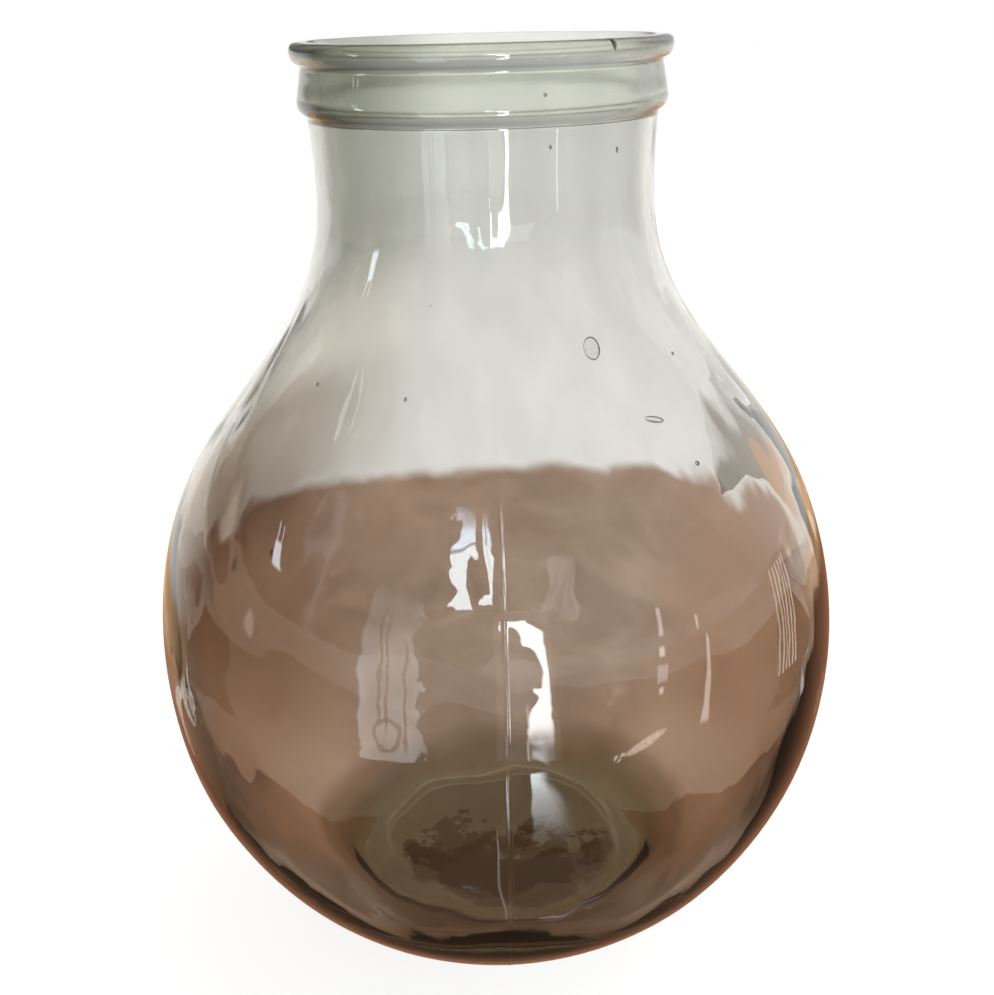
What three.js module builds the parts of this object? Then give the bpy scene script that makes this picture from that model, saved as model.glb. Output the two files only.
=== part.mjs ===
// Wide-mouth glass demijohn: a globe-bellied jar with a short neck, a tapered
// collar, a flat-topped lip and a pushed-up base.
//
// The glass of the real jar is one blown piece. Here it is made of the zones a
// glassmaker names - lip, collar, neck, flare, shoulder, belly, heel, push-up - each
// a closed ring of wall. Neighbouring zones meet face to face on level planes
// (and on one upright ring face in the base), with no gap and no overlap, so the
// stack is a tight vessel with one open way in, down through the mouth.
//
// Millimetres, +Z up. The origin is the centre of the circle it stands on.

import * as THREE from 'three';

// ---------------------------------------------------------------- dimensions

const HEIGHT = 420;            // foot to the top of the lip
const SEGMENTS = 48;           // sides of every ring

// Lip: the flange round the mouth, with a level top for a cover to rest on
const LIP_R = 81.6;            // outside radius at its fullest
const LIP_BOTTOM_Z = 411;      // where it steps in to the collar
const LIP_FLAT_IN_R = 72.6;    // level top face, inner and outer edge
const LIP_FLAT_OUT_R = 78.6;
const MOUTH_R = 69.6;          // clear bore of the mouth

// Collar: a thick band under the lip that widens downwards to a rounded edge
const COLLAR_TOP_R = 77.5;
const COLLAR_FULL_R = 79.75;
const COLLAR_FULL_Z = 395.5;
const COLLAR_BOTTOM_Z = 389;

// Outside of the body from the collar down to the heel, as [height, radius]
const BODY = [
  [389.0, 75.6],
  [376.0, 74.7],
  [363.0, 74.1],               // waist of the neck
  [351.5, 74.4],
  [341.6, 75.5],
  [331.8, 77.5],
  [321.9, 80.6],
  [312.0, 85.0],
  [302.1, 90.7],
  [292.2, 97.4],
  [282.3, 104.7],
  [272.4, 112.4],
  [262.6, 120.0],
  [252.7, 127.4],
  [242.8, 134.2],
  [232.9, 140.2],
  [223.0, 145.3],
  [213.2, 149.4],
  [203.3, 152.7],
  [183.5, 157.3],
  [163.7, 159.8],
  [149.0, 160.4],              // fullest circle of the belly
  [134.1, 159.8],
  [114.3, 157.4],
  [94.6, 152.6],
  [74.8, 144.6],
  [55.0, 133.5],
  [35.3, 118.4],
  [25.4, 108.6],
  [15.0, 96.4],
  [8.0, 87.2],
];

// Thickness of the wall square to its surface, as [height, thickness]: the glass
// is thin at the neck and grows heavier towards the foot
const WALL = [
  [389, 5.3],
  [363, 5.0],
  [322, 5.2],
  [282, 5.6],
  [243, 6.0],
  [203, 6.6],
  [164, 7.4],
  [125, 8.2],
  [85, 9.0],
  [55, 9.7],
  [35, 10.6],
  [8, 12.0],
];

// Foot: a level standing ring, and a shallow push-up inside it
const FOOT_OUT_R = 76;
const FOOT_IN_R = 66;
const PUSH_UP = 6.8;           // rise of the underside at the middle
const FLOOR_RING_R = 70;       // lowest circle of the inside floor
const FLOOR_RING_Z = 16.5;
const FLOOR_MIDDLE_Z = 20.3;

// Levels where one zone of the glass ends and the next begins
const NECK_BOTTOM_Z = 335;
const FLARE_BOTTOM_Z = 290;
const SHOULDER_BOTTOM_Z = 245;
const UPPER_BELLY_BOTTOM_Z = 185;
const MID_BELLY_BOTTOM_Z = 113;
const HEEL_TOP_Z = 60;

// -------------------------------------------------------------- the profiles

// Natural cubic spline through [x, y] pairs; returns y(x) and its slope.
function spline(pairs) {
  const p = [...pairs].sort((a, b) => a[0] - b[0]);
  const n = p.length;
  const x = p.map((q) => q[0]);
  const y = p.map((q) => q[1]);
  const h = [];
  for (let i = 0; i < n - 1; i++) h.push(x[i + 1] - x[i]);
  const lower = new Array(n).fill(0);
  const diag = new Array(n).fill(1);
  const upper = new Array(n).fill(0);
  const rhs = new Array(n).fill(0);
  for (let i = 1; i < n - 1; i++) {
    lower[i] = h[i - 1];
    diag[i] = 2 * (h[i - 1] + h[i]);
    upper[i] = h[i];
    rhs[i] = 6 * ((y[i + 1] - y[i]) / h[i] - (y[i] - y[i - 1]) / h[i - 1]);
  }
  for (let i = 1; i < n; i++) {
    const m = lower[i] / diag[i - 1];
    diag[i] -= m * upper[i - 1];
    rhs[i] -= m * rhs[i - 1];
  }
  const c = new Array(n).fill(0);
  c[n - 1] = rhs[n - 1] / diag[n - 1];
  for (let i = n - 2; i >= 0; i--) c[i] = (rhs[i] - upper[i] * c[i + 1]) / diag[i];
  return (at) => {
    let k = 0;
    while (k < n - 2 && at > x[k + 1]) k++;
    const a = (x[k + 1] - at) / h[k];
    const b = (at - x[k]) / h[k];
    return {
      value: a * y[k] + b * y[k + 1]
        + ((a ** 3 - a) * c[k] + (b ** 3 - b) * c[k + 1]) * h[k] ** 2 / 6,
      slope: (y[k + 1] - y[k]) / h[k]
        + ((3 * b * b - 1) * c[k + 1] - (3 * a * a - 1) * c[k]) * h[k] / 6,
    };
  };
}

const outside = spline(BODY);
const thickness = spline(WALL);
const outerR = (z) => outside(z).value;

// The inside wall is the outside one moved in by the thickness, square to it.
const insidePairs = [];
for (let z = 14; z <= 389; z += 1.5) {
  const o = outside(z);
  const t = thickness(z).value;
  const len = Math.hypot(1, o.slope);
  insidePairs.push([z + (t * o.slope) / len, o.value - t / len]);
}
function innerR(z) {
  for (let i = 1; i < insidePairs.length; i++) {
    const [z0, r0] = insidePairs[i - 1];
    const [z1, r1] = insidePairs[i];
    if (z <= z1) return r0 + ((z - z0) / (z1 - z0)) * (r1 - r0);
  }
  return insidePairs[insidePairs.length - 1][1];
}

// Heights from a to b in n even steps, both ends included.
function levels(a, b, n) {
  return Array.from({ length: n + 1 }, (_, i) => a + ((b - a) * i) / n);
}

// -------------------------------------------------------------- the geometry

// A ring turned from a closed outline of [radius, height] points.
function turned(outline) {
  const area = outline.reduce((sum, [r0, z0], i) => {
    const [r1, z1] = outline[(i + 1) % outline.length];
    return sum + (r0 * z1 - r1 * z0) / 2;
  }, 0);
  const loop = area > 0 ? [...outline] : [...outline].reverse();
  loop.push(loop[0]);
  const g = new THREE.LatheGeometry(
    loop.map(([r, z]) => new THREE.Vector2(r, z)),
    SEGMENTS,
  );
  g.rotateX(Math.PI / 2);
  return g;
}

// A disc turned from an open outline that starts and ends on the axis.
function turnedDisc(outline) {
  const g = new THREE.LatheGeometry(
    outline.map(([r, z]) => new THREE.Vector2(r, z)),
    SEGMENTS,
  );
  g.rotateX(Math.PI / 2);
  return g;
}

// A length of plain wall between two heights.
function wall(top, bottom, steps) {
  const down = levels(top, bottom, steps);
  return [
    ...down.map((z) => [outerR(z), z]),
    ...[...down].reverse().map((z) => [innerR(z), z]),
  ];
}

const lip = [
  [MOUTH_R + 0.2, LIP_BOTTOM_Z],
  [MOUTH_R, 414.0],
  [MOUTH_R + 0.25, 417.4],
  [MOUTH_R + 1.2, 419.2],
  [LIP_FLAT_IN_R, HEIGHT],
  [LIP_FLAT_OUT_R, HEIGHT],
  [LIP_R - 1.1, 419.2],
  [LIP_R - 0.2, 417.7],
  [LIP_R, 415.8],
  [LIP_R - 0.4, 413.8],
  [LIP_R - 1.5, 412.2],
  [LIP_R - 3.0, LIP_BOTTOM_Z],
];

const collar = [
  [LIP_R - 3.0, LIP_BOTTOM_Z],
  [COLLAR_TOP_R + 0.1, 410.2],
  [COLLAR_TOP_R, 409.2],
  [COLLAR_TOP_R + 0.75, 404.0],
  [COLLAR_TOP_R + 1.6, 399.6],
  [COLLAR_FULL_R, COLLAR_FULL_Z],
  [COLLAR_FULL_R - 0.35, 393.4],
  [COLLAR_FULL_R - 1.7, 391.5],
  [COLLAR_FULL_R - 3.3, 390.1],
  [outerR(COLLAR_BOTTOM_Z), COLLAR_BOTTOM_Z],
  [innerR(COLLAR_BOTTOM_Z), COLLAR_BOTTOM_Z],
  [MOUTH_R + 0.6, 394.0],
  [MOUTH_R + 0.4, 402.0],
  [MOUTH_R + 0.2, LIP_BOTTOM_Z],
];

// Outside of the heel from the belly down to the standing ring, then the upright
// face against the push-up, the inside floor ring and the inside wall
const heelDown = levels(HEEL_TOP_Z, 8, 6);
const heelUp = levels(26, HEEL_TOP_Z, 4);
const heel = [
  ...heelDown.map((z) => [outerR(z), z]),
  [82.6, 4.2],
  [79.4, 1.5],
  [77.6, 0.4],
  [FOOT_OUT_R, 0],
  [FOOT_IN_R, 0],
  [FOOT_IN_R, FLOOR_RING_Z + 0.15],
  [FLOOR_RING_R, FLOOR_RING_Z],
  [FLOOR_RING_R + 4, FLOOR_RING_Z + 0.2],
  [FLOOR_RING_R + 7.5, FLOOR_RING_Z + 0.8],
  [82.5, 19.0],
  [88, 21.9],
  ...heelUp.map((z) => [innerR(z), z]),
];

const pushUp = [
  [0, PUSH_UP],
  [8, PUSH_UP - 0.34],
  [18, PUSH_UP - 1.27],
  [34, PUSH_UP - 3.05],
  [50, PUSH_UP - 4.91],
  [FOOT_IN_R, 0],
  [FOOT_IN_R, FLOOR_RING_Z + 0.15],
  [60, FLOOR_RING_Z + 0.65],
  [52, FLOOR_RING_Z + 1.4],
  [36, FLOOR_RING_Z + 2.6],
  [18, FLOOR_RING_Z + 3.5],
  [0, FLOOR_MIDDLE_Z],
];

// -------------------------------------------------------------- the assembly

// Pale grey-green glass above, smoky rose-brown glass below.
const paleGlass = new THREE.MeshStandardMaterial({
  color: 0xc3c5bb, roughness: 0.05, metalness: 0, transparent: true, opacity: 0.4,
});
const smokyGlass = new THREE.MeshStandardMaterial({
  color: 0x8c6e5e, roughness: 0.05, metalness: 0, transparent: true, opacity: 0.5,
});

const demijohn = new THREE.Group();

function add(name, geometry, material) {
  const mesh = new THREE.Mesh(geometry, material);
  mesh.name = name;
  demijohn.add(mesh);
}

add('mouth_lip', turned(lip), paleGlass);
add('collar', turned(collar), paleGlass);
add('neck', turned(wall(COLLAR_BOTTOM_Z, NECK_BOTTOM_Z, 5)), paleGlass);
add('neck_flare', turned(wall(NECK_BOTTOM_Z, FLARE_BOTTOM_Z, 5)), paleGlass);
add('shoulder', turned(wall(FLARE_BOTTOM_Z, SHOULDER_BOTTOM_Z, 4)), paleGlass);
add('upper_belly', turned(wall(SHOULDER_BOTTOM_Z, UPPER_BELLY_BOTTOM_Z, 5)), paleGlass);
add('mid_belly', turned(wall(UPPER_BELLY_BOTTOM_Z, MID_BELLY_BOTTOM_Z, 6)), smokyGlass);
add('lower_belly', turned(wall(MID_BELLY_BOTTOM_Z, HEEL_TOP_Z, 5)), smokyGlass);
add('heel_and_foot_ring', turned(heel), smokyGlass);
add('push_up', turnedDisc(pushUp), smokyGlass);

export default demijohn;
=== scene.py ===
"""Looks of a wide-mouth glass demijohn.

One seamless shell of blown glass stands for all the zones of the wall. Its outside
and inside are turned from the same profile as the solid model, then given what blown
glass has: slow waves on the outside, stronger waves and upright flutes on the inside,
two mould seams, a nick in the lip and seeds (air bubbles) inside the wall.
"""

import math

import bpy
import numpy as np
from mathutils import Matrix, Vector


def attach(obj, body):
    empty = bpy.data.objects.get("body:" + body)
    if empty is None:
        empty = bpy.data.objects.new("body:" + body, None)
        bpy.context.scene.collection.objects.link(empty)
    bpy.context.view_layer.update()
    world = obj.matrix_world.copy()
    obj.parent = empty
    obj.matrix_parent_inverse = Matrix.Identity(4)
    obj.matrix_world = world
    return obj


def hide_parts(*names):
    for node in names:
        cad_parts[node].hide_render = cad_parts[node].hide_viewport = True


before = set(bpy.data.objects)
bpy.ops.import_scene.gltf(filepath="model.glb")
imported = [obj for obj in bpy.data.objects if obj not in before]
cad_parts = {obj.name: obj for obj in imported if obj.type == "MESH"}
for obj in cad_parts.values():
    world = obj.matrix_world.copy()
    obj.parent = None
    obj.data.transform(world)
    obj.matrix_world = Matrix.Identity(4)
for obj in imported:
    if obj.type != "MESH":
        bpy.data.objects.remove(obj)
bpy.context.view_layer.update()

MM = 0.001
rng = np.random.default_rng(20)

# ------------------------------------------------------------------ the profile (mm)

# Outside of the body, [height, radius]
BODY = [
    (389.0, 75.6), (376.0, 74.7), (363.0, 74.1), (351.5, 74.4), (341.6, 75.5),
    (331.8, 77.5), (321.9, 80.6), (312.0, 85.0), (302.1, 90.7), (292.2, 97.4),
    (282.3, 104.7), (272.4, 112.4), (262.6, 120.0), (252.7, 127.4), (242.8, 134.2),
    (232.9, 140.2), (223.0, 145.3), (213.2, 149.4), (203.3, 152.7), (183.5, 157.3),
    (163.7, 159.8), (149.0, 160.4), (134.1, 159.8), (114.3, 157.4), (94.6, 152.6),
    (74.8, 144.6), (55.0, 133.5), (35.3, 118.4), (25.4, 108.6), (15.0, 96.4),
    (8.0, 87.2),
]
# Thickness of the wall, [height, thickness]
WALL = [
    (389, 5.3), (363, 5.0), (322, 5.2), (282, 5.6), (243, 6.0), (203, 6.6),
    (164, 7.4), (125, 8.2), (85, 9.0), (55, 9.7), (35, 10.6), (8, 12.0),
]
# Collar and lip, [radius, height], from under the collar up and over into the bore
FINISH = [
    (75.62, 389.6), (76.3, 390.2), (77.9, 391.4), (79.3, 393.3), (79.75, 395.5),
    (79.5, 397.6), (79.1, 399.8), (78.3, 404.0), (77.7, 408.0), (77.45, 409.6),
    (77.7, 410.5), (78.6, 411.1), (80.1, 412.0), (81.2, 413.6), (81.6, 415.8),
    (81.4, 417.7), (80.5, 419.2), (78.6, 419.95), (77.0, 420.0), (74.4, 420.0),
    (72.6, 419.95), (70.9, 419.2), (69.9, 417.5), (69.6, 414.0), (69.8, 409.0),
    (70.0, 402.0), (70.2, 395.0), (70.3, 391.0),
]
# Inside floor, [radius, height], from the wall to the middle
FLOOR = [
    (88.0, 21.9), (82.5, 19.0), (77.5, 17.3), (74.0, 16.7), (70.0, 16.5), (66.0, 16.65),
    (60.0, 17.15), (52.0, 17.9), (36.0, 19.1), (18.0, 20.0), (0.0, 20.3),
]
HEEL = [(76.0, 0.0), (77.6, 0.4), (79.4, 1.5), (82.6, 4.2), (87.2, 8.0)]
FOOT_IN, PUSH_UP = 66.0, 6.8


def natural_spline(pairs):
    """y(x) and its slope, for a natural cubic spline through pairs."""
    p = np.array(sorted(pairs), float)
    x, y = p[:, 0], p[:, 1]
    n, h = len(x), np.diff(x)
    a, rhs = np.eye(n), np.zeros(n)
    for i in range(1, n - 1):
        a[i, i - 1 : i + 2] = h[i - 1], 2 * (h[i - 1] + h[i]), h[i]
        rhs[i] = 6 * ((y[i + 1] - y[i]) / h[i] - (y[i] - y[i - 1]) / h[i - 1])
    c = np.linalg.solve(a, rhs)

    def f(at):
        at = np.asarray(at, float)
        k = np.clip(np.searchsorted(x, at) - 1, 0, n - 2)
        hk = h[k]
        u, v = (x[k + 1] - at) / hk, (at - x[k]) / hk
        value = u * y[k] + v * y[k + 1] + ((u**3 - u) * c[k] + (v**3 - v) * c[k + 1]) * hk**2 / 6
        slope = (y[k + 1] - y[k]) / hk + ((3 * v * v - 1) * c[k + 1] - (3 * u * u - 1) * c[k]) * hk / 6
        return value, slope

    return f


def smooth_line(points, per=10):
    """A centripetal Catmull-Rom line through 2-D points."""
    p = np.array(points, float)
    p = np.vstack([2 * p[0] - p[1], p, 2 * p[-1] - p[-2]])
    out = []
    for i in range(1, len(p) - 2):
        q = p[i - 1 : i + 3]
        t = np.concatenate([[0], np.cumsum(np.sqrt(np.linalg.norm(np.diff(q, axis=0), axis=1)) + 1e-9)])
        s = np.linspace(t[1], t[2], per, endpoint=False)[:, None]
        a1 = (t[1] - s) / (t[1] - t[0]) * q[0] + (s - t[0]) / (t[1] - t[0]) * q[1]
        a2 = (t[2] - s) / (t[2] - t[1]) * q[1] + (s - t[1]) / (t[2] - t[1]) * q[2]
        a3 = (t[3] - s) / (t[3] - t[2]) * q[2] + (s - t[2]) / (t[3] - t[2]) * q[3]
        b1 = (t[2] - s) / (t[2] - t[0]) * a1 + (s - t[0]) / (t[2] - t[0]) * a2
        b2 = (t[3] - s) / (t[3] - t[1]) * a2 + (s - t[1]) / (t[3] - t[1]) * a3
        out.append((t[2] - s) / (t[2] - t[1]) * b1 + (s - t[1]) / (t[2] - t[1]) * b2)
    out.append(p[-2][None])
    return np.vstack(out)


def ramp(x, a, b):
    u = np.clip((x - a) / (b - a), 0, 1)
    return u * u * (3 - 2 * u)


outside, thickness = natural_spline(BODY), natural_spline(WALL)

# side 0 is the underside and foot, 1 the outside, 2 the collar and lip, 3 the inside
lines = []
r = np.linspace(0, FOOT_IN, 120)
lines.append((0, np.c_[r, PUSH_UP * (np.hypot(FOOT_IN, 10.0) - np.hypot(r, 10.0)) / (np.hypot(FOOT_IN, 10.0) - 10.0)]))
lines.append((0, np.c_[np.linspace(FOOT_IN + 0.4, 75.6, 20), np.zeros(20)]))
lines.append((0, smooth_line(HEEL)[:-1]))
z = np.linspace(8.0, 389.0, 1200)
lines.append((1, np.c_[outside(z)[0], z]))
lines.append((2, smooth_line(FINISH)))
z = np.linspace(389.0, 17.0, 1200)
(o, s), (t, _) = outside(z), thickness(z)
length = np.hypot(1, s)
inner = np.c_[o - t / length, z + t * s / length]
inner = inner[inner[:, 1] > 25.5]
lines.append((3, inner))
lines.append((3, smooth_line(np.vstack([inner[-1], FLOOR]))[1:]))

side = np.concatenate([np.full(len(p), k) for k, p in lines])
path = np.vstack([p for _, p in lines])

# Even steps along the line, closer together where it turns
step = np.linalg.norm(np.diff(path, axis=0), axis=1)
d1 = np.gradient(path, axis=0)
d1 /= np.linalg.norm(d1, axis=1)[:, None] + 1e-12
run = np.concatenate([[0], np.cumsum(step)])
ROWS = 352
want = np.where((path[:, 1] > 386) | ((side == 0) & (path[:, 0] > 60)), 0.75, 3.3)
want = np.where((side == 3) & (path[:, 1] < 26) & (path[:, 0] > 56), 1.4, want)
kernel = np.hanning(41)
want = np.convolve(np.pad(want, 20, mode="edge"), kernel / kernel.sum(), mode="valid")
density = np.concatenate([[0], np.cumsum(step / ((want[1:] + want[:-1]) / 2))])
at = np.interp(np.linspace(0, density[-1], ROWS), density, run)
prof = np.c_[np.interp(at, run, path[:, 0]), np.interp(at, run, path[:, 1])]
side = side[np.clip(np.searchsorted(run, at), 0, len(side) - 1)]
prof[0], prof[-1] = (0, PUSH_UP), (0, 20.3)
tangent = np.gradient(prof, axis=0)
tangent /= np.linalg.norm(tangent, axis=1)[:, None]
normal = np.c_[tangent[:, 1], -tangent[:, 0]]  # out of the glass

# ------------------------------------------------------------------ the glass shell

# Angles: 0 is +X, -90 the front. More columns where a seam or the nick needs them.
FRONT = -90.0
SEAMS = (FRONT + 1.4, FRONT + 181.4)
NICK = FRONT + 38.5
columns = list(np.linspace(0, 360, 216, endpoint=False))
for seam in SEAMS:
    columns += [seam % 360 + d for d in (-0.62, -0.42, -0.27, -0.13, 0.0, 0.13, 0.27, 0.42, 0.62)]
columns += [NICK % 360 + d for d in (-1.5, -1.1, -0.8, -0.5, -0.25, 0.0, 0.25, 0.5, 0.8, 1.1, 1.5)]
columns = np.unique(np.round(np.array(columns) % 360, 4))
keep = [columns[0]]
for c in columns[1:]:
    if c - keep[-1] > 0.09:
        keep.append(c)
phi = np.radians(np.array(keep))
COLS = len(phi)


def waves(count, turns, lengths, seed):
    """A smooth random field of angle and height, of about unit size, that closes round the jar."""
    g = np.random.default_rng(seed)
    parts = [
        (g.integers(*turns), 2 * math.pi / g.uniform(*lengths), *g.uniform(0, 2 * math.pi, 2), g.choice([-1, 1]))
        for _ in range(count)
    ]

    def f(p, h):
        return sum(np.cos(m * p + a + s * q * h + b) for m, q, a, b, s in parts) / math.sqrt(count / 2)

    return f


slow_out = waves(14, (2, 9), (90, 320), 3)
mid_out = waves(18, (6, 20), (45, 120), 4)
slow_in = waves(16, (2, 10), (70, 260), 5)
mid_in = waves(26, (8, 30), (26, 80), 6)
flutes = waves(20, (26, 60), (160, 500), 7)


def level_waves(count, lengths, seed):
    """A smooth random field of two level coordinates, of about unit size."""
    g = np.random.default_rng(seed)
    parts = [(2 * math.pi / g.uniform(*lengths), *g.uniform(0, 2 * math.pi, 2)) for _ in range(count)]

    def f(x, y):
        return sum(np.cos(q * (x * math.cos(a) + y * math.sin(a)) + b) for q, a, b in parts) / math.sqrt(count / 2)

    return f


level = level_waves(14, (24, 70), 8)


P, H = np.meshgrid(phi, prof[:, 1])
RADIUS = np.repeat(prof[:, 0][:, None], COLS, axis=1)
body = ramp(H, 6, 60) * (1 - 0.35 * ramp(H, 225, 280)) * (1 - 0.60 * ramp(H, 290, 345)) * (1 - 0.6 * ramp(H, 384, 392))
out_move = body * (0.18 * slow_out(P, H) + 0.055 * mid_out(P, H))
in_move = body * (0.22 * slow_in(P, H) + 0.085 * mid_in(P, H) + 0.022 * flutes(P, H))
# the waves of the wall die out over the inside floor, which has level ones of its own
in_floor = 1 - ramp(RADIUS, 62, 98)
in_floor = np.where(H < 60, in_floor, 0.0)
in_move = in_move * (1 - in_floor) + in_floor * 0.09 * level(RADIUS * np.cos(P), RADIUS * np.sin(P))
is_in, is_out = (side == 3)[:, None], (side == 1)[:, None] | (side == 2)[:, None]
move = np.where(is_in, in_move, np.where(is_out, out_move, 0.0))
# where the side changes, run one into the other
move *= np.where(is_in, 1 - 0.999 * ramp(H, 385, 396), 1.0)

# Mould seams: a fine upright ridge, front and back, from the heel to under the collar
for seam in SEAMS:
    away = (np.degrees(P) - seam + 180) % 360 - 180
    across = np.radians(away) * prof[:, 0][:, None]
    ridge = 0.20 * np.exp(-((across / 0.55) ** 2)) * ramp(H, 2, 12) * (1 - 0.75 * ramp(H, 190, 300))
    move += np.where((side == 1)[:, None], ridge * (1 - ramp(H, 380, 388)), 0.0)

# The nick: a narrow wedge out of the lip's outer edge
away = (np.degrees(P) - NICK + 180) % 360 - 180
across = np.radians(away) * 81.0
depth = ramp(H, 414.0, 418.5)
nick = 1.05 * np.exp(-((across / (0.30 + 0.42 * depth)) ** 2)) * depth
move -= np.where((side == 2)[:, None] & (prof[:, 0] > 78.0)[:, None], nick, 0.0)

R = prof[:, 0][:, None] + normal[:, 0][:, None] * move
Z = prof[:, 1][:, None] + normal[:, 1][:, None] * move
grid = np.stack([R * np.cos(P), R * np.sin(P), Z], axis=-1)

verts = [grid[0].mean(0)[None], grid[1:-1].reshape(-1, 3), grid[-1].mean(0)[None]]
verts = np.vstack(verts)
inner_rows = ROWS - 2
i, j = np.meshgrid(np.arange(inner_rows - 1), np.arange(COLS), indexing="ij")
k = (j + 1) % COLS
a = 1 + i * COLS
quads = np.stack([a + j, a + k, a + COLS + k, a + COLS + j], axis=-1).reshape(-1, 4)
j = np.arange(COLS)
k = (j + 1) % COLS
last = len(verts) - 1
top = 1 + (inner_rows - 1) * COLS
tris = np.vstack([np.c_[np.zeros(COLS, int), 1 + k, 1 + j], np.c_[np.full(COLS, last), top + j, top + k]])
faces = quads.tolist() + tris.tolist()
verts = verts.tolist()

# Seeds: closed air bubbles in the thickness of the wall, with their faces turned to the air
# angle from the front, height, depth in the wall (0 out, 1 in), half width, half height, half depth, turn
SEEDS = [
    (28.0, 304.1, 0.45, 3.7, 5.0, 0.62, -10),
    (37.6, 276.2, 0.45, 4.6, 1.5, 0.36, -18),
    (43.0, 258.3, 0.45, 1.3, 1.1, 0.45, 0),
    (54.7, 295.0, 0.5, 0.9, 0.9, 0.5, 0),
    (-39.2, 231.8, 0.5, 1.0, 1.3, 0.6, 0),
    (-19.7, 289.2, 0.5, 0.7, 0.9, 0.5, 0),
    (-45.8, 289.4, 0.5, 0.8, 1.0, 0.5, 0),
    (20.7, 380.9, 0.5, 0.6, 0.8, 0.5, 0),
    (46.5, 377.5, 0.5, 0.6, 1.3, 0.5, 0),
    (18.2, 400.8, 0.4, 0.7, 0.7, 0.6, 0),
]
for _ in range(30):
    size = rng.uniform(0.16, 0.36)
    SEEDS.append((
        rng.uniform(-180, 180), rng.uniform(40, 330), rng.uniform(0.35, 0.65),
        size, size * rng.uniform(1.0, 2.2), size * 0.8, rng.uniform(-25, 25),
    ))
for angle, h, depth, wide, tall, deep, turn in SEEDS:
    big = wide > 1.5
    nu, nv = (28, 14) if big else (12, 7)
    p = math.radians(FRONT + angle)
    (o,), (s,) = (np.atleast_1d(x) for x in outside(min(h, 389)))
    t = float(thickness(min(h, 389))[0])
    if h > 389:
        o, s, t = 78.6, -0.1, 8.0
    ln = math.hypot(1, s)
    nrm = np.array([math.cos(p) / ln, math.sin(p) / ln, -s / ln])
    tan = np.array([-math.sin(p), math.cos(p), 0])
    mer = np.cross(nrm, tan)
    centre = np.array([o * math.cos(p), o * math.sin(p), h]) - nrm * t * depth
    deep = min(deep, 0.36 * t)
    c, sn = math.cos(math.radians(turn)), math.sin(math.radians(turn))
    e1, e2 = c * tan + sn * mer, -sn * tan + c * mer
    start = len(verts)
    verts.append((centre + e2 * tall).tolist())
    for v in range(1, nv):
        th = math.pi * v / nv
        for u in range(nu):
            al = 2 * math.pi * u / nu
            q = centre + e1 * wide * math.sin(th) * math.cos(al) + nrm * deep * math.sin(th) * math.sin(al) + e2 * tall * math.cos(th)
            verts.append(q.tolist())
    verts.append((centre - e2 * tall).tolist())
    end = len(verts) - 1
    for u in range(nu):
        w = (u + 1) % nu
        faces.append([start, start + 1 + u, start + 1 + w])
        faces.append([end, end - nu + w, end - nu + u])
        for v in range(nv - 2):
            b = start + 1 + v * nu
            faces.append([b + u, b + nu + u, b + nu + w, b + w])

mesh = bpy.data.meshes.new("glass_jar")
mesh.from_pydata((np.array(verts) * MM).tolist(), [], faces)
mesh.update()
mesh.polygons.foreach_set("use_smooth", [True] * len(mesh.polygons))
jar = bpy.data.objects.new("glass_jar", mesh)
bpy.context.scene.collection.objects.link(jar)

# ------------------------------------------------------------------ the glass itself


class Tree:
    """Short hand for building a node tree."""

    def __init__(self, tree):
        self.tree = tree
        tree.nodes.clear()

    def node(self, kind, **values):
        n = self.tree.nodes.new(kind)
        for key, value in values.items():
            setattr(n, key, value)
        return n

    def put(self, socket, value):
        if isinstance(value, bpy.types.NodeSocket):
            self.tree.links.new(value, socket)
        elif value is not None:
            socket.default_value = value

    def math(self, op, a, b=None, c=None, clamp=False):
        n = self.node("ShaderNodeMath", operation=op, use_clamp=clamp)
        for socket, value in zip(n.inputs, (a, b, c)):
            self.put(socket, value)
        return n.outputs[0]

    def noise(self, vector, scale, detail=2.0, rough=0.5, distortion=0.0):
        n = self.node("ShaderNodeTexNoise")
        self.put(n.inputs["Vector"], vector)
        n.inputs["Scale"].default_value = scale
        n.inputs["Detail"].default_value = detail
        n.inputs["Roughness"].default_value = rough
        n.inputs["Distortion"].default_value = distortion
        return n.outputs["Fac"]

    def scaled(self, vector, xyz):
        n = self.node("ShaderNodeVectorMath", operation="MULTIPLY")
        self.put(n.inputs[0], vector)
        n.inputs[1].default_value = xyz
        return n.outputs[0]

    def ranged(self, value, a, b, c=0.0, d=1.0, smooth=True):
        n = self.node("ShaderNodeMapRange", interpolation_type="SMOOTHSTEP" if smooth else "LINEAR")
        for socket, v in zip(n.inputs, (value, a, b, c, d)):
            self.put(socket, v)
        return n.outputs[0]

    def curve(self, value, points):
        """A smooth curve through (x, y) points, both in 0 to 1."""
        n = self.node("ShaderNodeFloatCurve")
        c = n.mapping.curves[0]
        c.points[0].location, c.points[1].location = points[0], points[-1]
        for point in points[1:-1]:
            c.points.new(*point)
        n.mapping.update()
        self.put(n.inputs["Value"], value)
        return n.outputs[0]

    def oval(self, x, y, centre, half):
        """How far out of an oval a point is: 1 on its outline."""
        u = self.math("DIVIDE", self.math("SUBTRACT", x, centre[0]), half[0])
        v = self.math("DIVIDE", self.math("SUBTRACT", y, centre[1]), half[1])
        return self.math("SQRT", self.math("ADD", self.math("MULTIPLY", u, u), self.math("MULTIPLY", v, v)))

    def mix(self, fac, a, b, kind="MIX"):
        n = self.node("ShaderNodeMix", data_type="RGBA", blend_type=kind)
        self.put(n.inputs[0], fac)
        self.put(n.inputs[6], a)
        self.put(n.inputs[7], b)
        return n.outputs[2]


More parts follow.
